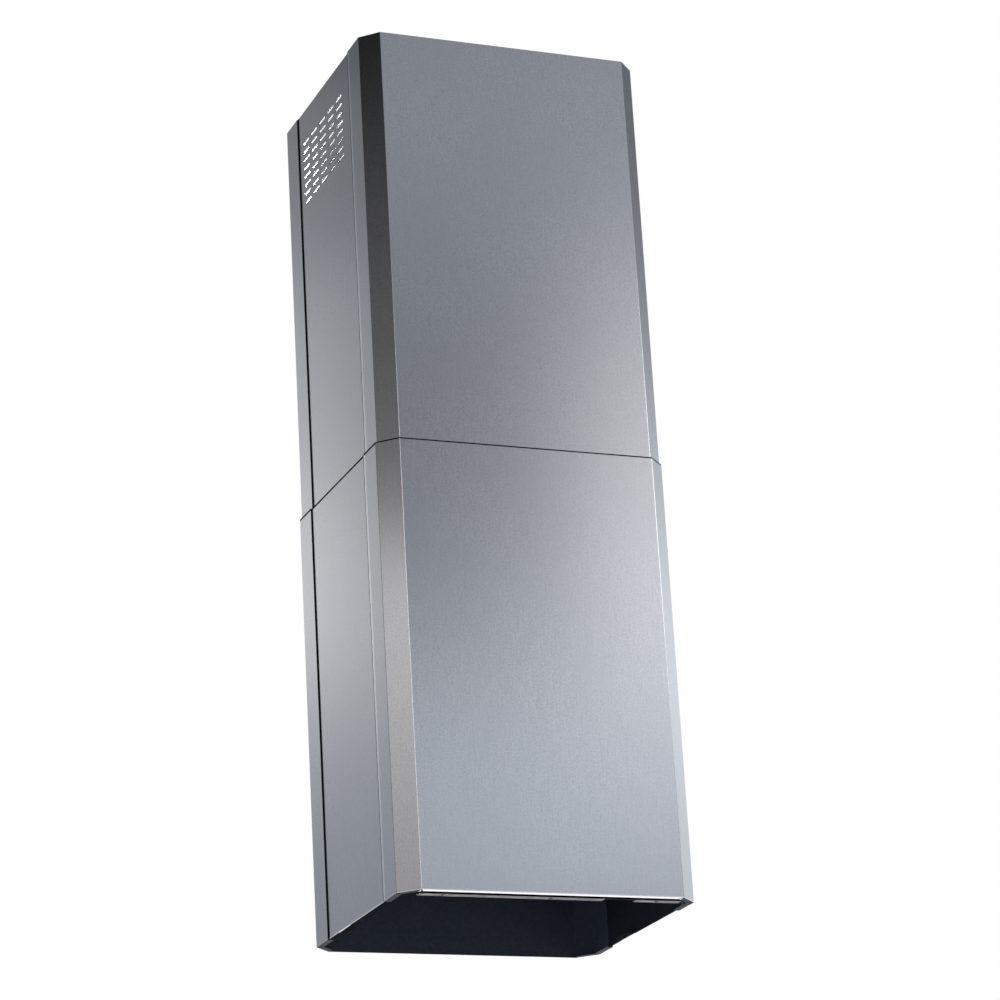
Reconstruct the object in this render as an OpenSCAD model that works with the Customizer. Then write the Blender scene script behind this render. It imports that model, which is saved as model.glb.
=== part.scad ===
// Telescopic steel cover and support frame that hang from a ceiling above an island range hood.
// Millimetres. The origin is the centre of the ceiling plate's top face, which lies on the ceiling.
// +X is to the right, +Y to the rear and +Z up, so the whole part hangs below Z = 0.

/* [Cover sections] */
// Width of the lower section over its two sides
flue_w = 320; // [300:1:400]
// Depth of the lower section over its front and rear faces
flue_d = 288; // [282:1:360]
// Leg of the sloping corner faces
corner = 19.5; // [12:0.5:24]
// Width of the strip that each shell turns round onto the side
strip_w = 37; // [25:1:45]
// Length of the lower section
lower_h = 470; // [380:1:600]
// Length of the upper section
upper_h = 500; // [460:1:620]
// Length of the upper section that the lower one hides at rest
overlap = 38; // [20:1:80]

/* [Sheet, folds and seams] */
// Thickness of the cover's sheet
sheet_t = 0.6; // [0.5:0.1:1]
// Outer radius of the folds
fold_r = 1.2; // [1.2:0.1:4]
// Thickness of the bonding tape between a strip and a side panel
tape_t = 0.5; // [0.3:0.1:1]
// Width of the lap where a side panel lies behind a strip
lap = 8; // [5:1:12]
// Width of the tape that shows past the strip's edge
tape_show = 3; // [0:0.5:4]
// Clearance between the two sections, and between other faces that slide past each other
slide_gap = 0.3; // [0.3:0.1:0.8]
// Height of the felt strip on the lower section's top edge
felt_h = 1.4; // [0.5:0.1:2]

/* [Vents] */
// Length of one vent slot
vent_l = 20; // [12:1:24]
// Width of one vent slot
vent_w = 2.4; // [1.5:0.1:4]
// Distance from one column of slots to the next
vent_pitch_y = 28; // [26:1:30]
// Distance from one row of slots to the next
vent_pitch_z = 10; // [8:1:12]
// Number of columns of slots
vent_columns = 5; // [3:1:5]
// Number of rows of slots
vent_rows = 8; // [4:1:10]
// Distance from the panel's top edge to the first row
vent_drop = 38; // [25:1:60]
// How far the pattern sits behind the middle of the panel
vent_shift = 6; // [-10:1:10]

/* [Lower edge of the cover] */
// Width of the flange turned in along the lower edge
flange_w = 7; // [4:0.5:10]
// Width of the relief cut in the flange at each fold
relief_w = 1.6; // [1.6:0.1:3]
// Height of the side panels' lower edge above the shells' lower edge
panel_raise = 0.8; // [0.8:0.1:2]
// Width of the tab on each side panel
tab_w = 36; // [12:1:60]
// Reach of the tab into the cover
tab_l = 9; // [7:1:14]
// How far the tab sits behind the middle of the panel
tab_shift = 40; // [-40:1:50]
// Radius of the screw holes in the rail and the tabs
cover_hole_r = 2.2; // [1.6:0.1:2.6]
// Length of the front rail
rail_l = 282; // [250:1:284]
// Width of the front rail's floor
rail_w = 11.5; // [9:0.5:13]
// Height of the front rail's web
rail_h = 25; // [20:1:35]
// Thickness of the front rail
rail_t = 1.2; // [1:0.1:2]
// Distance from the front face to the front rail
rail_set = 16.5; // [12:0.5:18]
// How far the front rail sits to the right of the middle
rail_shift = 5; // [0:1:6]
// Distance from one screw hole of the rail to the next
rail_pitch = 115; // [90:1:120]
// Left end of the rail's notch, from the middle of the cover
notch_x = 62; // [40:1:70]
// Length of the rail's notch
notch_l = 34; // [20:1:40]
// Height of the rail's stand-off screws above the lower edge
standoff_z = 14; // [10:1:18]
// Distance from one stand-off to the next
standoff_pitch = 90; // [60:1:110]
// Radius of a stand-off
standoff_r = 4; // [3:0.5:5]

/* [Ceiling plate and base plate] */
// Side of the square opening for the duct
duct = 176; // [140:1:186]
// Thickness of both plates
plate_t = 2; // [1.5:0.1:3]
// Reach of both plates past the frame, to the left and right
plate_wing = 16; // [14:1:24]
// Reach of the ceiling plate past the frame, to the front and rear
plate_lip = 2; // [1:0.5:6]
// Length of the ceiling screws' slots
ceiling_slot_l = 16; // [10:1:20]
// Half width of the ceiling screws' slots
ceiling_slot_r = 3.5; // [2.5:0.1:4]
// Distance from one ceiling slot to the next, front to rear
ceiling_slot_y = 100; // [60:1:120]
// Radius of the hood bolts' holes in the base plate
hood_hole_r = 3.2; // [2.5:0.1:4]
// Distance from one hood bolt to the next, front to rear
hood_bolt_y = 120; // [60:1:130]
// Inset of the hood bolts from the base plate's left and right edges
hood_bolt_in = 12; // [9:0.5:14]
// Depth of the hood's own housing inside the cover, below the base plate
hood_entry = 78; // [76:1:120]
// Width of the lugs that hold the uprights
lug_w = 18; // [14:1:20]
// Height of the lugs
lug_h = 25; // [20:1:30]

/* [Telescopic frame] */
// Gap between the duct opening and the upper uprights
frame_gap = 14.5; // [14:0.5:16]
// Leg of the angle that the uprights are cut from
upright_leg = 24; // [22:1:28]
// Thickness of the uprights and braces
upright_t = 1.5; // [1:0.1:2]
// Length of the lower uprights inside the upper ones at rest
nest = 91.4; // [85:0.1:120]
// How far the lower frame can be raised
frame_travel = 300; // [100:5:300]
// Height of the lower row of clamp bolts above the upper uprights' ends
bolt_z = 15; // [12:1:20]
// Distance from one row of clamp bolts to the next
bolt_pitch = 60; // [40:1:65]
// Inset of the clamp bolts from the frame's corner
bolt_in = 13; // [12:0.5:14]
// Height of the braces
brace_h = 20; // [14:1:24]
// Distance from the ceiling to the upper front and rear braces
brace_drop = 88; // [60:1:92]
// Distance from a welded brace to the end of its upright
brace_set = 8; // [6:1:14]
// Width of the flue hangers
hanger_w = 130; // [100:1:140]
// Thickness of the flue hangers
hanger_t = 1.5; // [1:0.1:2]
// Height of the lip along each edge of a hanger
hanger_lip = 8; // [5:1:12]
// Width of the flange that hangs on a hanger
hang_flange = 13; // [12:1:16]
// Distance between a hanger's two screws
hanger_pitch = 90; // [60:1:100]

/* [Fasteners] */
// Radius of the clamp bolts
bolt_r = 3; // [2.5:0.5:4]
// Distance across the flats of the clamp bolts' heads and nuts
bolt_af = 10; // [8:1:11]
// Height of a clamp bolt's head
bolt_head = 4; // [3:0.5:5]
// Height of a clamp nut
nut_h = 5; // [4:0.5:5]
// Radius of a clamp washer
washer_r = 6; // [5:0.5:7]
// Thickness of a clamp washer
washer_t = 1.2; // [1:0.1:2]
// Clearance round a clamp bolt
bolt_fit = 0.25; // [0.15:0.05:0.5]
// Radius of the small screws
screw_r = 1.95; // [1.45:0.05:2]
// Radius of a small screw's head
screw_head_r = 3.8; // [3:0.1:4.5]
// Height of a small screw's head
screw_head = 2.4; // [1.5:0.1:3]
// Distance across the flats of a small nut
screw_af = 7; // [5:0.5:8]
// Height of a small nut
screw_nut = 3.2; // [2:0.1:4]
// Clearance round a small screw
screw_fit = 0.1; // [0.05:0.05:0.3]

/* [Hidden] */

$fn = 48;
// Points along each fold's arc
fold_steps = 6;
// How far a cutting shape runs past what it cuts
over = 1;

// Depth of a side panel's outer face below its strips
panel_in = sheet_t + tape_t;
// Depth of the upper section's outer face below the lower section's
upper_in = panel_in + sheet_t + slide_gap;
// Half of the opening between a front and a rear strip
half_open = flue_d / 2 - corner - strip_w;
// Heights of the two sections' edges
upper_top = sheet_t - plate_t;
upper_bottom = upper_top - upper_h;
lower_top = upper_bottom + overlap;
lower_bottom = lower_top - lower_h;

// Half sizes of the frame over the upper and the lower uprights, and to each upright's inner face
upper_out = duct / 2 + frame_gap + upright_t;
upper_face = upper_out - upright_t;
lower_out = upper_face - slide_gap;
lower_face = lower_out - upright_t;
// Heights of the frame's levels
base_bottom = lower_bottom + hood_entry;
base_top = base_bottom + plate_t;
lower_upright_top = upper_bottom + nest;
bolt_rows = [upper_bottom + bolt_z, upper_bottom + bolt_z + bolt_pitch];
// Where the clamp bolts sit along X, and the slot that they slide in
bolt_x = upper_out - bolt_in;
slot_r = bolt_r + bolt_fit;
// The middle of a lug along X and its screw's distance from the plate
lug_x = upper_out - bolt_in;
lug_screw = lug_h / 2;
// The hanger screws' two rows: through the ceiling plate and through the shell's flange
plate_row = (duct / 2 + upper_out) / 2;
flange_row = flue_d / 2 - upper_in - sheet_t - hang_flange / 2;
hanger_end = flange_row + hang_flange / 2 - slide_gap;
// The front rail's floor and web
rail_front = -flue_d / 2 + rail_set;
rail_rear = rail_front + rail_w;
rail_floor = lower_bottom + sheet_t;
rail_row = (rail_front + rail_t + rail_rear) / 2;
notch_front = rail_front + 2 * rail_t;
notch_tab_h = rail_h / 2;

steel = [0.62, 0.65, 0.69];
galvanised = [0.70, 0.72, 0.73];
zinc = [0.80, 0.80, 0.78];
black = [0.04, 0.04, 0.05];

// ---------- outlines ----------

// Distance from a square corner to the start of the sloping face, at a depth below the outer surface
function fold_at(depth) = corner + depth * (sqrt(2) - 1);

// The two folds of the front left corner, at a depth below the outer surface
function side_fold(depth) = [-(flue_w / 2 - depth), -(flue_d / 2 - fold_at(depth))];
function face_fold(depth) = [-(flue_w / 2 - fold_at(depth)), -(flue_d / 2 - depth)];

function arc(middle, radius, from, to) = [
    for (s = [0 : fold_steps])
        let (a = from + (to - from) * s / fold_steps) middle + radius * [cos(a), sin(a)]
];

// The left half of a front shell's line, for a section set in by inset, at a depth in its sheet
function half_line(inset, depth) = concat(
    [[-(flue_w / 2 - inset - depth), -half_open]],
    arc(side_fold(inset + fold_r), fold_r - depth, 180, 225),
    arc(face_fold(inset + fold_r), fold_r - depth, 225, 270)
);

function mirrored(line) = [for (i = [len(line) - 1 : -1 : 0]) [-line[i][0], line[i][1]]];
function backwards(line) = [for (i = [len(line) - 1 : -1 : 0]) line[i]];
function turned(line) = [for (p = line) -p];
function shell_line(inset, depth) = concat(half_line(inset, depth), mirrored(half_line(inset, depth)));

// The whole outline of a section, with its side panels set in behind the strips. Where the step to a
// panel lies short of the strips' edges, the strips' line runs on as far as the step.
function strip_end(x, y) = abs(y) < half_open ? [[x, y]] : [];
function side_line(inset, side_inset, open) = concat(
    strip_end(flue_w / 2 - inset, -open),
    [[flue_w / 2 - side_inset, -open], [flue_w / 2 - side_inset, open]],
    strip_end(flue_w / 2 - inset, open)
);
function section_line(inset, side_inset, open) = concat(
    shell_line(inset, 0),
    side_line(inset, side_inset, open),
    turned(shell_line(inset, 0)),
    turned(side_line(inset, side_inset, open))
);

module shell_profile(inset) polygon(concat(shell_line(inset, 0), backwards(shell_line(inset, sheet_t))));

module slot(l, r) {
    square([l - 2 * r, 2 * r], center = true);
    for (x = [r - l / 2, l / 2 - r]) translate([x, 0]) circle(r);
}

// ---------- helpers ----------

// Copies to the four corners of the plan
module four_corners() for (sx = [-1, 1], sy = [-1, 1]) at_corner(sx, sy) children();
module at_corner(sx, sy) mirror([sx < 0 ? 1 : 0, 0, 0]) mirror([0, sy < 0 ? 1 : 0, 0]) children();

// Turns a shape that points along +Z so that it points along +Y
module along_y() rotate([-90, 0, 0]) children();

module slab(from, to) translate(from) cube(to - from);

module pan_screw(shank) {
    translate([0, 0, -screw_head]) {
        cylinder(r = screw_head_r - screw_head / 4, h = screw_head / 4);
        translate([0, 0, screw_head / 4]) cylinder(r = screw_head_r, h = screw_head * 3 / 4);
    }
    cylinder(r = screw_r, h = shank);
}

module hex_nut(af, h, hole) difference() {
    cylinder(d = af / cos(30), h = h, $fn = 6);
    translate([0, 0, -over]) cylinder(r = hole, h = h + 2 * over);
}

// ---------- cover: shells, panels and seams ----------

module relief_cut(near, far) {
    run = far - near;
    translate(near) rotate(atan2(run[1], run[0])) translate([-over, -relief_w / 2])
        square([norm(run) + 2 * over, relief_w]);
}

// The flange turned in along a shell's lower edge, cut at each fold
module lower_flange(on_face) difference() {
    union() {
        for (side = [0, 1]) mirror([side, 0]) {
            polygon([
                [-flue_w / 2, -half_open], side_fold(0), face_fold(0),
                face_fold(flange_w), side_fold(flange_w), [flange_w - flue_w / 2, -half_open]
            ]);
        }
        if (on_face) {
            polygon(concat([face_fold(0)], mirrored([face_fold(0)]),
                mirrored([face_fold(flange_w)]), [face_fold(flange_w)]));
        }
    }
    for (side = [0, 1]) mirror([side, 0]) {
        relief_cut(side_fold(0), side_fold(flange_w));
        relief_cut(face_fold(0), face_fold(flange_w));
    }
}

module lower_shell(on_face) translate([0, 0, lower_bottom]) {
    linear_extrude(lower_h) shell_profile(0);
    linear_extrude(sheet_t) lower_flange(on_face);
}

// An upper shell has a flange at its top edge, which rests on a hanger
module upper_shell() {
    face = -flue_d / 2 + upper_in;
    translate([0, 0, upper_bottom]) linear_extrude(upper_h) shell_profile(upper_in);
    difference() {
        slab([-hanger_w / 2, face, upper_top - sheet_t],
            [hanger_w / 2, face + sheet_t + hang_flange, upper_top]);
        for (x = [-1, 1] * hanger_pitch / 2) translate([x, -flange_row, upper_top - sheet_t - over])
            cylinder(r = screw_r + screw_fit, h = sheet_t + 2 * over);
    }
}

// A flat side sheet with its outer face at x = 0 and its thickness towards +X
module side_sheet(bottom, top) rotate([90, 0, 90]) linear_extrude(sheet_t) difference() {
    translate([-half_open - lap, bottom]) square([2 * (half_open + lap), top - bottom]);
    children();
}

module vent_slots() for (column = [0 : vent_columns - 1], row = [0 : vent_rows - 1])
    translate([
        vent_shift + (column - (vent_columns - 1) / 2) * vent_pitch_y,
        upper_top - vent_drop - row * vent_pitch_z
    ]) slot(vent_l, vent_w / 2);

module upper_panel() translate([-flue_w / 2 + upper_in + panel_in, 0, 0])
    side_sheet(upper_bottom, upper_top) vent_slots();

// A lower panel has a tab turned in at its lower edge
module lower_panel() {
    low = lower_bottom + panel_raise;
    translate([-flue_w / 2 + panel_in, 0, 0]) {
        side_sheet(low, lower_top);
        difference() {
            slab([0, tab_shift - tab_w / 2, low], [sheet_t + tab_l, tab_shift + tab_w / 2, low + sheet_t]);
            translate([sheet_t + tab_l / 2, tab_shift, low - over])
                cylinder(r = cover_hole_r, h = sheet_t + 2 * over);
        }
    }
}

module seam_tapes(inset, bottom, top) color(black) four_corners()
    slab([flue_w / 2 - inset - panel_in, half_open - tape_show, bottom],
        [flue_w / 2 - inset - sheet_t, half_open + lap, top]);

module upper_front_shell() color(steel) upper_shell();
module upper_rear_shell() color(steel) rotate([0, 0, 180]) upper_shell();
module upper_left_panel() color(steel) upper_panel();
module upper_right_panel() color(steel) mirror([1, 0, 0]) upper_panel();
module upper_seam_tapes() seam_tapes(upper_in, upper_bottom, upper_top);

// The front face hides a rail behind its flange, and the rear face has none
module lower_front_shell() color(steel) lower_shell(true);
module lower_rear_shell() color(steel) rotate([0, 0, 180]) lower_shell(false);
module lower_left_panel() color(steel) lower_panel();
module lower_right_panel() color(steel) mirror([1, 0, 0]) lower_panel();
module lower_seam_tapes() seam_tapes(0, lower_bottom + panel_raise, lower_top);

// Felt on the lower section's top edge, which wipes along the upper section
module rim_felt() color(black) translate([0, 0, lower_top]) linear_extrude(felt_h) difference() {
    polygon(section_line(0, panel_in, half_open));
    polygon(section_line(upper_in - slide_gap, upper_in + panel_in - slide_gap,
        half_open - tape_show - slide_gap));
}

// ---------- front rail ----------

module standoff_places() for (i = [-1 : 1]) translate([rail_shift + i * standoff_pitch, 0, lower_bottom + standoff_z])
    children();

module front_rail() color(galvanised) {
    left = rail_shift - rail_l / 2;
    right = rail_shift + rail_l / 2;
    difference() {
        union() {
            slab([left, rail_front, rail_floor], [right, rail_rear, rail_floor + rail_t]);
            slab([left, rail_front, rail_floor], [right, rail_front + rail_t, rail_floor + rail_h]);
        }
        slab([notch_x, notch_front, rail_floor - over], [notch_x + notch_l, rail_rear + over, rail_floor + rail_t + over]);
        for (i = [-1 : 1]) translate([rail_shift + i * rail_pitch, rail_row, rail_floor - over])
            cylinder(r = cover_hole_r, h = rail_t + 2 * over);
        standoff_places() translate([0, rail_front - over, 0]) along_y()
            cylinder(r = screw_r + screw_fit, h = rail_t + 2 * over);
    }
    // The tab that the notch leaves, turned up
    difference() {
        slab([notch_x - rail_t, notch_front, rail_floor], [notch_x, rail_rear, rail_floor + notch_tab_h]);
        notch_screw_place() translate([0, 0, -over]) cylinder(r = screw_r + screw_fit, h = rail_t + 2 * over);
    }
}

module notch_screw_place() translate([notch_x, (notch_front + rail_rear) / 2, rail_floor + notch_tab_h / 2])
    rotate([0, -90, 0]) children();

module rail_standoffs() color(zinc) {
    face = -flue_d / 2 + sheet_t;
    standoff_places() translate([0, face, 0]) difference() {
        along_y() cylinder(r = standoff_r, h = rail_front - face);
        translate([0, (rail_front - face) / 3, 0]) along_y()
            cylinder(r = screw_r + screw_fit, h = rail_front - face);
    }
}

module rail_screws() color(zinc) standoff_places() translate([0, rail_front + rail_t, 0])
    rotate([90, 0, 0]) pan_screw(rail_t + (rail_set - sheet_t) / 2);

module notch_screw() color(zinc) notch_screw_place() pan_screw(3 * rail_t);

// ---------- plates ----------

// Half a plate's size along X, which both plates share
plate_x = upper_out + plate_wing;

module duct_opening() square([duct, duct], center = true);

// A lug turned out of a plate, flat against the inner face of an upright's front or rear leg
module lugs(face, bottom, top) four_corners() difference() {
    slab([lug_x - lug_w / 2, face - plate_t, bottom], [lug_x + lug_w / 2 - over, face, top]);
    translate([lug_x, face - plate_t - over, (bottom + top) / 2]) along_y()
        cylinder(r = screw_r + screw_fit, h = plate_t + 2 * over);
}

module ceiling_plate() color(galvanised) {
    translate([0, 0, -plate_t]) linear_extrude(plate_t) difference() {
        square([2 * plate_x, 2 * (upper_out + plate_lip)], center = true);
        duct_opening();
        for (sx = [-1, 1], sy = [-1, 1]) {
            translate([sx * upper_out, sy * ceiling_slot_y / 2]) slot(ceiling_slot_l, ceiling_slot_r);
            translate([sx * hanger_pitch / 2, sy * plate_row]) circle(screw_r + screw_fit);
        }
    }
    lugs(upper_face, -plate_t - lug_h, -plate_t);
}

module hood_base_plate() color(galvanised) {
    translate([0, 0, base_bottom]) linear_extrude(plate_t) difference() {
        square([2 * plate_x, 2 * lower_out], center = true);
        duct_opening();
        for (sx = [-1, 1], sy = [-1, 1])
            translate([sx * (plate_x - hood_bolt_in), sy * hood_bolt_y / 2]) circle(hood_hole_r);
    }
    lugs(lower_face, base_top, base_top + lug_h);
}

// Screws through the uprights' legs and the lugs, with their nuts inside
module lug_screws(out, face, z) color(zinc) four_corners() translate([lug_x, out, z]) {
    rotate([90, 0, 0]) pan_screw(out - face + plate_t + screw_nut + over);
    translate([0, face - out - plate_t, 0]) rotate([90, 0, 0])
        hex_nut(screw_af, screw_nut, screw_r + screw_fit);
}

module upright_head_screws() lug_screws(upper_out, upper_face, -plate_t - lug_screw);
module upright_foot_screws() lug_screws(lower_out, lower_face, base_top + lug_screw);

// ---------- uprights and braces ----------

module angle(out, bottom, top) translate([0, 0, bottom]) linear_extrude(top - bottom) polygon([
    [out, out], [out - upright_leg, out], [out - upright_leg, out - upright_t],
    [out - upright_t, out - upright_t], [out - upright_t, out - upright_leg], [out, out - upright_leg]
]);

// Cuts through an upright's front or rear leg
module leg_hole(out, x, z, r) translate([x, out - upright_t - over, z]) along_y()
    cylinder(r = r, h = upright_t + 2 * over);

module upper_upright() color(galvanised) difference() {
    angle(upper_out, upper_bottom, -plate_t);
    slot_low = bolt_rows[0];
    slot_high = bolt_rows[1] + frame_travel;
    translate([bolt_x, upper_out + over, (slot_low + slot_high) / 2]) rotate([90, 90, 0])
        linear_extrude(upright_t + 2 * over) slot(slot_high - slot_low + 2 * slot_r, slot_r);
    leg_hole(upper_out, lug_x, -plate_t - lug_screw, screw_r + screw_fit);
    leg_hole(upper_out, lug_x, -brace_drop - brace_h / 2, screw_r + screw_fit);
}

module lower_upright() color(galvanised) difference() {
    angle(lower_out, base_top, lower_upright_top);
    for (z = bolt_rows) leg_hole(lower_out, bolt_x, z, slot_r);
    leg_hole(lower_out, lug_x, base_top + lug_screw, screw_r + screw_fit);
}

module upper_upright_front_left() at_corner(-1, -1) upper_upright();
module upper_upright_front_right() at_corner(1, -1) upper_upright();
module upper_upright_rear_left() at_corner(-1, 1) upper_upright();
module upper_upright_rear_right() at_corner(1, 1) upper_upright();
module lower_upright_front_left() at_corner(-1, -1) lower_upright();
module lower_upright_front_right() at_corner(1, -1) lower_upright();
module lower_upright_rear_left() at_corner(-1, 1) lower_upright();
module lower_upright_rear_right() at_corner(1, 1) lower_upright();

// A brace across the rear: half its length, its front face and its bottom edge
module brace(half, face, bottom) slab([-half, face, bottom], [half, face + upright_t, bottom + brace_h]);

module upper_screwed_brace() color(galvanised) difference() {
    brace(upper_out, upper_out, -brace_drop - brace_h);
    for (sx = [-1, 1]) translate([sx * lug_x, upper_out - over, -brace_drop - brace_h / 2]) along_y()
        cylinder(r = screw_r + screw_fit, h = upright_t + 2 * over);
}

module upper_brace_rear() upper_screwed_brace();
module upper_brace_front() rotate([0, 0, 180]) upper_screwed_brace();
module upper_brace_screws() color(zinc) four_corners()
    translate([lug_x, upper_out + upright_t, -brace_drop - brace_h / 2]) {
        rotate([90, 0, 0]) pan_screw(2 * upright_t + screw_nut + over);
        translate([0, -2 * upright_t, 0]) rotate([90, 0, 0]) hex_nut(screw_af, screw_nut, screw_r + screw_fit);
    }

// Welded braces: the upper ones lie outside their uprights, and the lower ones inside theirs
module upper_side_brace() color(galvanised) rotate([0, 0, 90]) brace(upper_out, upper_out, upper_bottom + brace_set);
module lower_side_brace() color(galvanised) rotate([0, 0, 90])
    brace(lower_face, lower_face - upright_t, lower_upright_top - brace_set - brace_h);
module lower_cross_brace() color(galvanised)
    brace(lower_face, lower_face - upright_t, (base_top + upper_bottom) / 2);

module upper_brace_left() upper_side_brace();
module upper_brace_right() rotate([0, 0, 180]) upper_side_brace();
module lower_brace_left() lower_side_brace();
module lower_brace_right() rotate([0, 0, 180]) lower_side_brace();
module lower_brace_rear() lower_cross_brace();
module lower_brace_front() rotate([0, 0, 180]) lower_cross_brace();

// ---------- clamp bolts ----------

module clamp_places() four_corners() for (z = bolt_rows) translate([bolt_x, upper_out + slide_gap, z])
    rotate([90, 0, 0]) children();

module clamp_bolts() color(zinc) clamp_places() {
    translate([0, 0, -washer_t - bolt_head]) cylinder(d = bolt_af / cos(30), h = bolt_head, $fn = 6);
    translate([0, 0, -washer_t]) cylinder(r = bolt_r, h = washer_t + slide_gap + upper_out - lower_face + nut_h + over);
}

module clamp_washers() color(zinc) clamp_places() translate([0, 0, -washer_t]) difference() {
    cylinder(r = washer_r, h = washer_t);
    translate([0, 0, -over]) cylinder(r = slot_r, h = washer_t + 2 * over);
}

module clamp_nuts() color(zinc) clamp_places() translate([0, 0, slide_gap + upper_out - lower_face])
    hex_nut(bolt_af, nut_h, bolt_r + screw_fit);

// ---------- hangers ----------

// A rear hanger: a channel under the ceiling plate and under the upper shell's flange
module flue_hanger() color(galvanised) {
    inner = duct / 2 + slide_gap;
    top = -plate_t;
    difference() {
        slab([-hanger_w / 2, inner, top - hanger_t], [hanger_w / 2, hanger_end, top]);
        for (x = [-1, 1] * hanger_pitch / 2, y = [plate_row, flange_row])
            translate([x, y, top - hanger_t - over]) cylinder(r = screw_r + screw_fit, h = hanger_t + 2 * over);
    }
    for (y = [inner, hanger_end - hanger_t])
        slab([-hanger_w / 2, y, top - hanger_lip], [hanger_w / 2, y + hanger_t, top - hanger_t]);
}

module flue_hanger_rear() flue_hanger();
module flue_hanger_front() rotate([0, 0, 180]) flue_hanger();
module flue_hanger_screws() color(zinc) for (sx = [-1, 1], sy = [-1, 1]) {
    translate([sx * hanger_pitch / 2, sy * plate_row, -plate_t - hanger_t]) pan_screw(hanger_t + plate_t - slide_gap);
    translate([sx * hanger_pitch / 2, sy * flange_row, -plate_t - hanger_t]) pan_screw(hanger_t + 2 * sheet_t);
}

ceiling_plate();
upper_upright_front_left();
upper_upright_front_right();
upper_upright_rear_left();
upper_upright_rear_right();
upright_head_screws();
upper_brace_front();
upper_brace_rear();
upper_brace_left();
upper_brace_right();
upper_brace_screws();
flue_hanger_front();
flue_hanger_rear();
flue_hanger_screws();
upper_front_shell();
upper_rear_shell();
upper_left_panel();
upper_right_panel();
upper_seam_tapes();
hood_base_plate();
lower_upright_front_left();
lower_upright_front_right();
lower_upright_rear_left();
lower_upright_rear_right();
upright_foot_screws();
lower_brace_front();
lower_brace_rear();
lower_brace_left();
lower_brace_right();
clamp_bolts();
clamp_washers();
clamp_nuts();
lower_front_shell();
lower_rear_shell();
lower_left_panel();
lower_right_panel();
lower_seam_tapes();
rim_felt();
front_rail();
rail_standoffs();
rail_screws();
notch_screw();
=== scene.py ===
import math

import bpy
from mathutils import Matrix, Vector


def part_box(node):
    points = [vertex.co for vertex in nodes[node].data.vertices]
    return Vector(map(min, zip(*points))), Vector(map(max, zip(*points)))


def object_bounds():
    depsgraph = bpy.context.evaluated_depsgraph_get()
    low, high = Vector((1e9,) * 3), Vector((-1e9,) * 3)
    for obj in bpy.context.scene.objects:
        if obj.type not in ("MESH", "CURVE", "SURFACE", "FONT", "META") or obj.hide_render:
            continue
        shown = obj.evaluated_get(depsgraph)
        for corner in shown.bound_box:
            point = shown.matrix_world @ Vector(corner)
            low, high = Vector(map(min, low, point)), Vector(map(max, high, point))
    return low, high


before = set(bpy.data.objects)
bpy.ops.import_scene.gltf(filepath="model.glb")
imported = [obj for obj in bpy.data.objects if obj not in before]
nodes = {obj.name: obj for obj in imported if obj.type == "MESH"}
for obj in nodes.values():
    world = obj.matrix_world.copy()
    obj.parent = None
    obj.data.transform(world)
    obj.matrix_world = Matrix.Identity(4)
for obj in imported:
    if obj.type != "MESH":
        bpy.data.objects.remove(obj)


def plain(corners):
    return [[float(v) for v in corner] for corner in corners]


cad_box = plain(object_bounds())
low, high = (Vector(c) for c in cad_box)


# ---------- sizes, heights and colours ----------

# Width of a corner face along x, and the seams' place along y
corner = 0.0195
seam_y = 0.0875
# Height of the painted highlight along the lower edge
edge_h = 0.0011
# The side faces, strips and seams lie this close to the left and right sides
side_depth = 0.006
# The side panels' bottom tabs start this far in from the sides; their undersides get painted shade
tab_start = 0.0025
# Depth of the flange under the front face, from the front
flange_d = 0.012
# Width of the painted highlight strips beside the front and the rear seam
front_strip_w = 0.0045
rear_strip_w = 0.003
# Inside, how far past the seam the shell's side strip starts, which is painted lighter as if lit from the
# left, and the middle of a painted highlight line on it
strip_start = 0.006
lap_middle = 0.009
lap_half_w = 0.0015
# Height of the shadow under the joint, on the sides
joint_shadow_h = 0.0009
# Depth of the painted shade at the front of the rail
rail_shade_d = 0.002

upper_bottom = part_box("upper_front_shell")[0][2]
lower_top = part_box("lower_front_shell")[1][2]
beside_front_seam = (-seam_y - front_strip_w, -seam_y)
beside_rear_seam = (seam_y - rear_strip_w, seam_y)

steel_tint = (0.62, 0.635, 0.655)
mill_inside = (0.62, 0.63, 0.64)
# Painted shade for the lower section's inside
shaded_inside = (0.27, 0.31, 0.37)
painted_highlight_white = (0.95, 0.96, 0.97)
# Painted highlight for the front flange, and painted shade for the corner flanges
flange_highlight_white = (0.85, 0.86, 0.88)
flange_shade_grey = (0.22, 0.23, 0.24)
# Black painted shade, for the cut edges in the seams, under the joint, under the tabs and on the rail's
# front
painted_shade_black = (0.012, 0.012, 0.014)
tape_black = (0.006, 0.006, 0.007)
felt_black = (0.008, 0.009, 0.012)
zinc_bright = (0.76, 0.76, 0.74)
zinc_grey = (0.62, 0.64, 0.65)
zinc_dark = (0.25, 0.24, 0.25)
floor_paler = (0.84, 0.84, 0.84)
floor_pale = (0.80, 0.80, 0.80)

cool = (0.94, 1.0, 1.12)
coolish = (0.97, 1.0, 1.05)
warm = (1.03, 1.0, 1.01)

# Mirror directions of the photographed view in the front face, the left side, the corner faces, the
# folds beside the front face and the underside
seen_in_front = (0.357, -0.875, 0.327)
seen_in_left = (-0.357, 0.875, 0.327)
seen_in_left_corner = (-0.875, -0.357, 0.327)
seen_in_right_corner = (0.875, 0.357, 0.327)
seen_in_left_fold = (-0.367, -0.871, 0.327)
seen_in_right_fold = (0.872, -0.367, 0.327)
seen_from_below = (0.357, 0.875, -0.327)


# ---------- camera ----------

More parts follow.
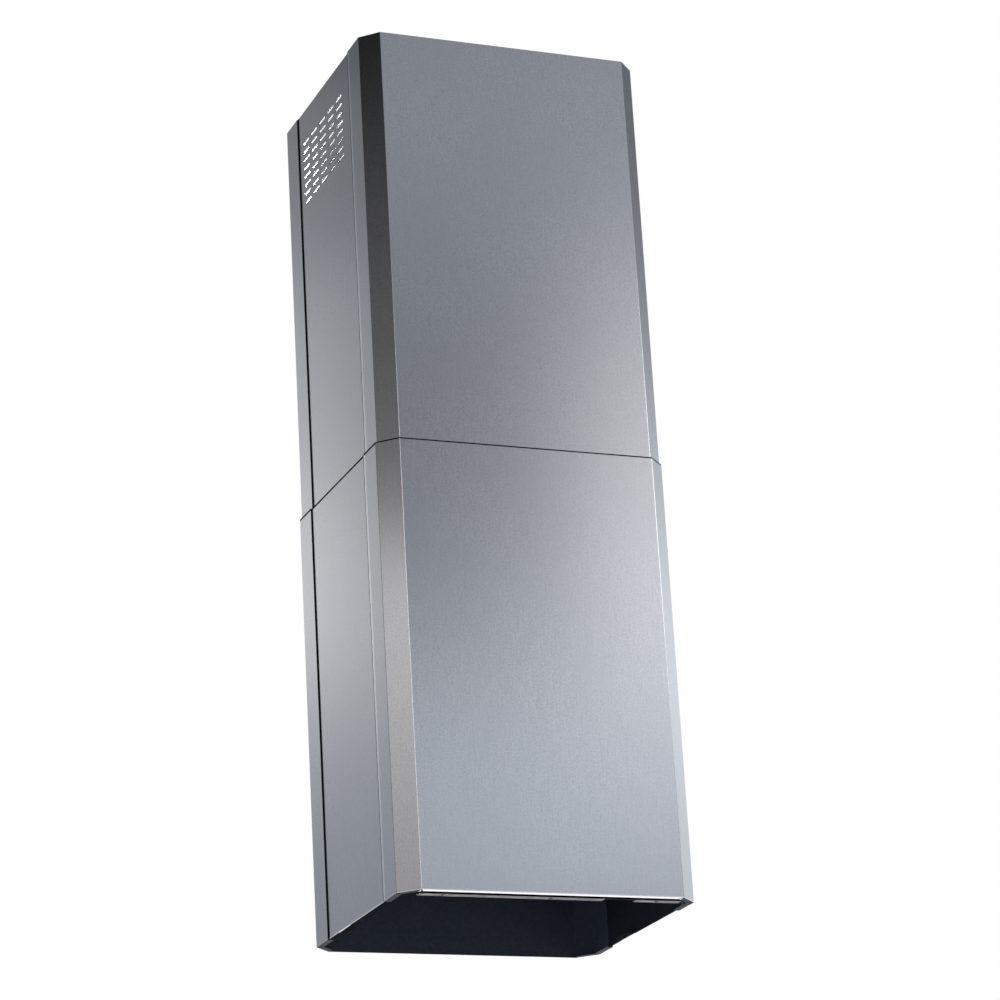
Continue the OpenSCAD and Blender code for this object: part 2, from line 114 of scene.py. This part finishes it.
def add_camera():
    """The photographed view: from the left, in front and below, looking up along a slightly rolled axis."""
    place = Vector((-1.3267, -3.3128, -1.7056))
    forward = Vector((0.35698, 0.87510, 0.32676)).normalized()
    up = Vector((-0.06920, -0.32407, 0.94350)).normalized()
    right = forward.cross(up).normalized()
    up = right.cross(forward)
    lens = bpy.data.cameras.new("camera")
    lens.sensor_width = 36
    lens.lens = 127.04
    lens.clip_end = 100
    camera = bpy.data.objects.new("camera", lens)
    bpy.context.scene.collection.objects.link(camera)
    turn = Matrix((right, up, -forward)).transposed()
    camera.matrix_world = Matrix.Translation(place) @ turn.to_4x4()
    bpy.context.scene.camera = camera


# ---------- node helpers ----------

class Nodes:
    """A short way to write a node tree."""

    def __init__(self, tree):
        self.tree = tree
        tree.nodes.clear()

    def add(self, kind, inputs=None, **settings):
        node = self.tree.nodes.new(kind)
        for key, value in settings.items():
            setattr(node, key, value)
        for key, value in (inputs or {}).items():
            if isinstance(value, bpy.types.NodeSocket):
                self.tree.links.new(value, node.inputs[key])
            else:
                node.inputs[key].default_value = value
        return node

    def math(self, operation, a, b=0.0):
        return self.add("ShaderNodeMath", {0: a, 1: b}, operation=operation).outputs[0]

    def below(self, value, limit):
        return self.math("LESS_THAN", value, limit)

    def above(self, value, limit):
        return self.math("GREATER_THAN", value, limit)

    def absolute(self, value):
        return self.math("ABSOLUTE", value)

    def near(self, value, middle, reach):
        return self.below(self.absolute(self.math("SUBTRACT", value, middle)), reach)

    def both(self, *tests):
        result = tests[0]
        for test in tests[1:]:
            result = self.math("MULTIPLY", result, test)
        return result

    def either(self, *tests):
        result = tests[0]
        for test in tests[1:]:
            result = self.math("MAXIMUM", result, test)
        return result

    def dot(self, a, b):
        return self.add("ShaderNodeVectorMath", {0: a, 1: b}, operation="DOT_PRODUCT").outputs["Value"]

    def split(self, vector):
        return self.add("ShaderNodeSeparateXYZ", {0: vector}).outputs

    def place(self):
        return self.add("ShaderNodeTexCoord").outputs["Object"]

    def normal(self):
        return self.add("ShaderNodeNewGeometry").outputs["True Normal"]

    def noise(self, coordinates, scale, detail=2.0, roughness=0.5):
        node = self.add("ShaderNodeTexNoise", {"Vector": coordinates, "Scale": scale, "Detail": detail,
                                               "Roughness": roughness})
        return node.outputs["Fac"]

    def bump(self, height, strength, distance):
        node = self.add("ShaderNodeBump", {"Height": height, "Strength": strength, "Distance": distance})
        return node.outputs[0]

    def remap(self, value, from_min, from_max, to_min, to_max):
        node = self.add("ShaderNodeMapRange", {"Value": value, "From Min": from_min, "From Max": from_max,
                                               "To Min": to_min, "To Max": to_max})
        return node.outputs["Result"]

    def ramp(self, value, stops):
        node = self.add("ShaderNodeValToRGB", {"Fac": value})
        ramp = node.color_ramp
        while len(ramp.elements) < len(stops):
            ramp.elements.new(0.5)
        for element, (position, color) in zip(ramp.elements, stops):
            element.position = position
            element.color = (*color, 1.0)
        return node.outputs["Color"]

    def mix(self, factor, a, b):
        """Mixes two colours."""
        node = self.add("ShaderNodeMix", data_type="RGBA")
        for index, value in ((0, factor), (6, a), (7, b)):
            if isinstance(value, bpy.types.NodeSocket):
                self.tree.links.new(value, node.inputs[index])
            else:
                node.inputs[index].default_value = value if index == 0 else (*value, 1.0)
        return node.outputs[2]

    def blend(self, factor, a, b):
        """Mixes two numbers."""
        return self.add("ShaderNodeMix", {0: factor, 2: a, 3: b}).outputs[0]


def material(name):
    made = bpy.data.materials.new(name)
    made.use_nodes = True
    return made, Nodes(made.node_tree)


def finish_material(n, color, roughness, bump=None, **uniform):
    """Adds the shader and links it to the output. Uniform values are set on the shader's own sockets."""
    shader = n.add("ShaderNodeBsdfPrincipled", {"Base Color": color, "Roughness": roughness})
    if bump is not None:
        n.tree.links.new(bump, shader.inputs["Normal"])
    for key, value in uniform.items():
        shader.inputs[key.replace("_", " ")].default_value = value
    out = n.add("ShaderNodeOutputMaterial")
    n.tree.links.new(shader.outputs[0], out.inputs["Surface"])


def shade(color, factor):
    return tuple(c * factor for c in color)


def spread(tint, darkest, lightest, start=0.3, end=0.7):
    """Stops of a ramp from a darker to a lighter shade of a tint."""
    return [(start, shade(tint, darkest)), (end, shade(tint, lightest))]


# ---------- materials ----------

def satin_steel(name, tint, inside, inside_rough, bottom, seam, joint_top=None, flange_light=False, shade_tabs=False):
    """Stainless sheet: a fine vertical grain outside, painted highlights at its lower edge, folds and
    seams, another colour inside, painted lighter on the side strips, and painted black shade on its cut
    edges.
    The bottom is the height of the sheet's lower edge, seam gives the range of y that gets a painted
    highlight beside a seam, and joint_top the height of the top edge, under which a painted shadow lies."""
    made, n = material(name)
    at = n.place()
    x, y, z = n.split(at)
    grain_space = n.add("ShaderNodeMapping", {"Vector": at, "Scale": (1.0, 1.0, 0.04)}).outputs[0]
    grain = n.noise(grain_space, scale=1400.0, detail=3.0, roughness=0.65)
    speckle = n.noise(at, scale=520.0, detail=3.0, roughness=0.75)
    cloud = n.noise(at, scale=9.0, detail=3.0)
    streak = n.math("ADD", n.math("MULTIPLY", grain, 0.3), n.math("MULTIPLY", speckle, 0.7))
    outer = n.ramp(streak, [(0.34, shade(tint, 0.80)), (0.50, tint), (0.66, shade(tint, 1.20))])
    outer = n.mix(n.remap(cloud, 0.35, 0.65, 0.0, 0.5), outer, shade(tint, 0.95))

    normal = n.normal()
    normal_x, normal_y, normal_z = n.split(normal)
    at_side = n.above(n.absolute(x), high.x - side_depth)
    # Painted highlights, with a smoother finish on the folds: the folds, where the sheet is neither square
    #     to an axis nor at 45 degrees, the lower edge and the seams
    on_face = n.either(n.above(n.absolute(normal_x), 0.997), n.above(n.absolute(normal_y), 0.997))
    on_corner = n.near(n.absolute(n.math("MULTIPLY", normal_x, normal_y)), 0.5, 0.01)
    fold = n.math("SUBTRACT", 1.0, n.either(on_face, on_corner, n.above(n.absolute(normal_z), 0.1)))
    rim = n.below(z, bottom + edge_h)
    at_seam = n.both(at_side, n.above(y, seam[0]), n.below(y, seam[1]))
    painted_highlight = n.either(n.math("MULTIPLY", fold, 0.95), n.math("MULTIPLY", rim, 0.7), at_seam)
    outer = n.mix(painted_highlight, outer, painted_highlight_white)

    # The inner side is the one whose normal points towards the vertical axis
    flat_place = n.add("ShaderNodeVectorMath", {0: at, 1: (1.0, 1.0, 0.0)}, operation="MULTIPLY").outputs[0]
    inner = n.below(n.dot(flat_place, normal), -0.02)
    painted_lit_strip = n.both(n.above(n.absolute(normal_x), 0.9), n.above(n.absolute(y), seam_y + strip_start))
    lap_highlight = n.both(n.near(n.absolute(y), seam_y + lap_middle, lap_half_w), painted_lit_strip)
    mottle = n.ramp(speckle, spread(inside, 0.8, 1.2))
    # Inside, the side strips are painted lighter, as if lit from the left, with a painted highlight line on
    # each
    mottle = n.mix(painted_lit_strip, mottle, shade(inside, 1.7))
    mottle = n.mix(lap_highlight, mottle, painted_highlight_white)
    color = n.mix(inner, outer, mottle)
    rough = n.blend(fold, n.remap(streak, 0.3, 0.7, 0.28, 0.36), 0.22)
    rough = n.blend(inner, rough, inside_rough)

    # Painted black shade on the strips' cut edges in the seams, and a painted shadow under the joint
    painted_shade = n.both(n.above(n.absolute(normal_y), 0.9), at_side)
    if joint_top is not None:
        under_joint = n.both(n.above(z, joint_top - joint_shadow_h), n.above(n.absolute(normal_x), 0.9))
        painted_shade = n.either(painted_shade, under_joint)
    color = n.mix(painted_shade, color, painted_shade_black)
    rough = n.blend(painted_shade, rough, 0.9)
    down = n.below(normal_z, -0.9)
    if flange_light:
        # Painted highlight on the flange under the front face, and painted shade on the flanges under the
        # corners
        front = n.both(n.below(y, low.y + flange_d), n.below(n.absolute(x), high.x - corner))
        color = n.mix(down, color, n.mix(front, flange_shade_grey, flange_highlight_white))
        rough = n.blend(down, rough, n.blend(front, 0.7, 0.2))
    if shade_tabs:
        # The tabs' undersides get painted black shade
        under_tab = n.both(down, n.below(n.absolute(x), high.x - tab_start))
        color = n.mix(under_tab, color, painted_shade_black)
        rough = n.blend(under_tab, rough, 0.95)
    finish_material(n, color, rough, n.bump(streak, 0.15, 0.00006), Metallic=1.0)
    return made


def galvanised(name, tint, shade_front_y=None):
    """Zinc-coated steel with a faint spangle. The front faces, and what lies in front of the given y, get
    painted black shade."""
    made, n = material(name)
    at = n.place()
    spangle = n.add("ShaderNodeTexVoronoi", {"Vector": at, "Scale": 180.0}).outputs["Color"]
    value = n.add("ShaderNodeSeparateColor", {"Color": spangle}).outputs[0]
    dust = n.noise(at, scale=60.0, detail=4.0, roughness=0.6)
    color = n.ramp(value, spread(tint, 0.82, 1.1, 0.0, 1.0))
    color = n.mix(n.remap(dust, 0.3, 0.7, 0.0, 0.5), color, shade(tint, 0.75))
    rough = n.remap(value, 0.0, 1.0, 0.34, 0.5)
    if shade_front_y is not None:
        normal_y = n.split(n.normal())[1]
        # Painted shade on the front faces and in front of the given y
        front = n.either(n.below(normal_y, -0.9), n.below(n.split(at)[1], shade_front_y))
        color = n.mix(front, color, painted_shade_black)
        rough = n.blend(front, rough, 0.9)
    finish_material(n, color, rough, n.bump(dust, 0.08, 0.0001), Metallic=1.0)
    return made


def zinc(name, tint):
    """Bright plated fasteners with a fine grain."""
    made, n = material(name)
    marks = n.noise(n.place(), scale=900.0)
    color = n.ramp(marks, spread(tint, 0.85, 1.05))
    rough = n.remap(marks, 0.3, 0.7, 0.2, 0.32)
    finish_material(n, color, rough, n.bump(marks, 0.1, 0.00005), Metallic=1.0)
    return made


def soft_black(name, tint, scale, strength):
    """Foam tape and felt: matt, with a pore or fibre bump."""
    made, n = material(name)
    pores = n.noise(n.place(), scale, detail=3.0, roughness=0.7)
    color = n.ramp(pores, spread(tint, 0.5, 1.5))
    rough = n.remap(pores, 0.3, 0.7, 0.8, 0.95)
    finish_material(n, color, rough, n.bump(pores, strength, 0.0002), Specular_IOR_Level=0.1)
    return made


def paint(node_names, made):
    for name in node_names:
        slots = nodes[name].data.materials
        slots.clear()
        slots.append(made)


# ---------- studio ----------

def add_floor(height, half_width):
    """A pale floor far below the hanging part. It glows a little, and the steel doesn't reflect it."""
    mesh = bpy.data.meshes.new("floor")
    square = [(-1, -1), (1, -1), (1, 1), (-1, 1)]
    mesh.from_pydata([(x * half_width, y * half_width, height) for x, y in square], [], [(0, 1, 2, 3)])
    floor = bpy.data.objects.new("floor", mesh)
    floor.visible_glossy = False
    floor.visible_diffuse = False
    bpy.context.scene.collection.objects.link(floor)
    made, n = material("floor_paint")
    color = n.ramp(n.noise(n.place(), scale=3.0), [(0.3, floor_pale), (0.7, floor_paler)])
    finish_material(n, color, 0.7, Emission_Color=(0.9, 0.9, 0.9, 1.0), Emission_Strength=0.65)
    mesh.materials.append(made)


def set_world(backdrop, room, shadow, tint):
    """A white backdrop, and a dim room for the steel to reflect, darker on the side of the left corner."""
    world = bpy.data.worlds.new("studio")
    bpy.context.scene.world = world
    world.use_nodes = True
    n = Nodes(world.node_tree)
    seen = n.add("ShaderNodeLightPath").outputs["Is Camera Ray"]
    toward = n.add("ShaderNodeTexCoord").outputs["Generated"]
    aside = n.dot(toward, Vector(seen_in_left_corner).normalized())
    level = n.remap(aside, 0.6, 0.9, room, shadow)
    white = n.add("ShaderNodeBackground", {"Color": (1.0, 1.0, 1.0, 1.0), "Strength": backdrop}).outputs[0]
    dim = n.add("ShaderNodeBackground", {"Color": (*tint, 1.0), "Strength": level}).outputs[0]
    surface = n.add("ShaderNodeMixShader", {0: seen, 1: dim, 2: white}).outputs[0]
    n.add("ShaderNodeOutputWorld", {"Surface": surface})


def add_card(name, target, toward, distance, size, power, color=(1.0, 1.0, 1.0), levels=None):
    """A softbox at a distance from a target, in the direction given, facing the target. The levels are
    its brightness as the steel reflects it at heights on the object: pairs of a height and a share."""
    direction = Vector(toward).normalized()
    lamp = bpy.data.lights.new(name, "AREA")
    lamp.shape = "RECTANGLE"
    lamp.size, lamp.size_y = size
    lamp.energy = power
    lamp.color = color
    if levels:
        lamp.use_nodes = True
        n = Nodes(lamp.node_tree)
        height = n.split(n.add("ShaderNodeNewGeometry").outputs["Parametric"])[1]
        rise = Vector((direction.x, direction.y, 0.0)).length / size[1]
        stops = [(0.5 + (z - target[2]) * rise, (share, share, share)) for z, share in levels]
        glow = n.add("ShaderNodeEmission", {"Strength": n.ramp(height, stops)}).outputs[0]
        n.add("ShaderNodeOutputLight", {0: glow})
    box = bpy.data.objects.new(name, lamp)
    box.location = Vector(target) + direction * distance
    box.rotation_euler = direction.to_track_quat("Z", "Y").to_euler()
    box.visible_camera = False
    bpy.context.scene.collection.objects.link(box)
    return box


def pools_of_light(*pools):
    """Levels of a card lit by soft pools of light, from the object's foot to its top. Each pool has the
    height of its middle, its reach and its share."""
    steps = 19
    levels = []
    for step in range(steps + 1):
        z = low.z * (1.0 - step / steps)
        share = sum(part * math.exp(-((z - centre) / reach) ** 2) for centre, reach, part in pools)
        levels.append((z, share))
    return levels


def add_tall_card(name, x, y, toward, distance, width, power, color, levels):
    """A softbox taller than the object, aimed at x and y at half the object's height."""
    card_h = 1.3
    add_card(name, (x, y, low.z / 2), toward, distance, (width, card_h), power, color, levels)


def add_lights():
    """Tall cards in the mirror directions, so that the steel's tones change slowly with height."""
    add_tall_card("front_card", 0.06, low.y, seen_in_front, 0.7, 0.8, 1.87, cool,
                  pools_of_light((-0.9, 0.25, 1.0), (0.05, 0.33, 0.44)))
    add_tall_card("front_right_card", 0.24, low.y, seen_in_front, 0.7, 0.3, 1.3, warm,
                  pools_of_light((-0.6, 0.22, 0.9), (-0.32, 0.2, 0.5)))
    add_tall_card("left_card", low.x, 0.0, seen_in_left, 0.7, 0.9, 0.9, cool,
                  pools_of_light((-1.0, 0.24, 1.0), (-0.2, 0.12, 0.35)))
    add_tall_card("left_rear_card", low.x, 0.32, seen_in_left, 0.7, 0.3, 1.25, warm,
                  pools_of_light((-0.52, 0.22, 1.0), (-0.21, 0.22, 0.46)))
    add_tall_card("right_corner_card", high.x - 0.01, low.y + 0.01, seen_in_right_corner, 0.6, 0.35, 1.5,
                  coolish, pools_of_light((-0.78, 0.4, 1.0)))
    add_tall_card("left_fold_card", low.x + corner, low.y, seen_in_left_fold, 1.0, 0.65, 3.2, warm,
                  pools_of_light((-0.58, 0.27, 0.8), (-0.95, 0.25, 0.85)))
    add_tall_card("right_fold_card", high.x - corner, low.y, seen_in_right_fold, 1.0, 0.55, 6.6, warm,
                  pools_of_light((-0.53, 0.25, 1.0)))
    # This one starts sharply below the joint
    add_tall_card("left_corner_card", low.x + 0.01, low.y + 0.01, seen_in_left_corner, 0.4, 0.3, 1.13, warm,
                  [(-0.95, 0.6), (-0.63, 1.0), (-0.61, 1.0), (-0.54, 0.2), (0.0, 0.0)])
    add_card("under_card", (0.0, low.y, low.z), seen_from_below, 1.5, (1.2, 0.6), 2.5, warm)
    # A small lamp inside the upper section lights the rear wall that shows through the left vents
    vent_card = add_card("vent_card", (-0.08, high.y, -0.04), (0.1, -0.9, -0.43), 0.2, (0.1, 0.1), 4.0)
    vent_card.data.spread = 1.5


# ---------- the scene ----------

bpy.context.scene.view_settings.view_transform = "Standard"
add_camera()
add_floor(height=low.z - 4.5, half_width=30.0)
set_world(backdrop=1.0, room=0.15, shadow=0.01, tint=cool)
add_lights()

paint(["upper_front_shell", "upper_rear_shell"],
      satin_steel("upper_shell_steel", steel_tint, mill_inside, 0.65, upper_bottom, beside_front_seam))
paint(["upper_left_panel", "upper_right_panel"],
      satin_steel("upper_panel_steel", steel_tint, mill_inside, 0.65, upper_bottom, beside_rear_seam))
# The lower section's inside gets painted shade, darker still on the panels
paint(["lower_front_shell", "lower_rear_shell"],
      satin_steel("lower_shell_steel", steel_tint, shaded_inside, 0.6, low.z, beside_front_seam, lower_top,
                  flange_light=True))
panel_bottom = low.z + 0.0008
paint(["lower_left_panel", "lower_right_panel"],
      satin_steel("lower_panel_steel", steel_tint, shade(shaded_inside, 0.6), 0.6, panel_bottom,
                  beside_rear_seam, lower_top, shade_tabs=True))
paint(["upper_seam_tapes", "lower_seam_tapes"], soft_black("foam_tape", tape_black, 1200.0, 0.6))
paint(["rim_felt"], soft_black("rim_felt_fibre", felt_black, 3000.0, 0.8))
fastener_words = ("screw", "clamp", "standoffs")
fasteners = [name for name in nodes if any(word in name for word in fastener_words)]
paint(fasteners, zinc("zinc_plate", zinc_bright))
rail_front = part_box("front_rail")[0][1] + rail_shade_d
paint(["front_rail"], galvanised("rail_zinc", zinc_dark, rail_front))
frame_words = ("upright_front", "upright_rear", "brace_", "_plate", "hanger_")
framework = [name for name in nodes if any(word in name for word in frame_words)]
framework = [name for name in framework if name not in fasteners]
paint(framework, galvanised("galvanised_frame", zinc_grey))
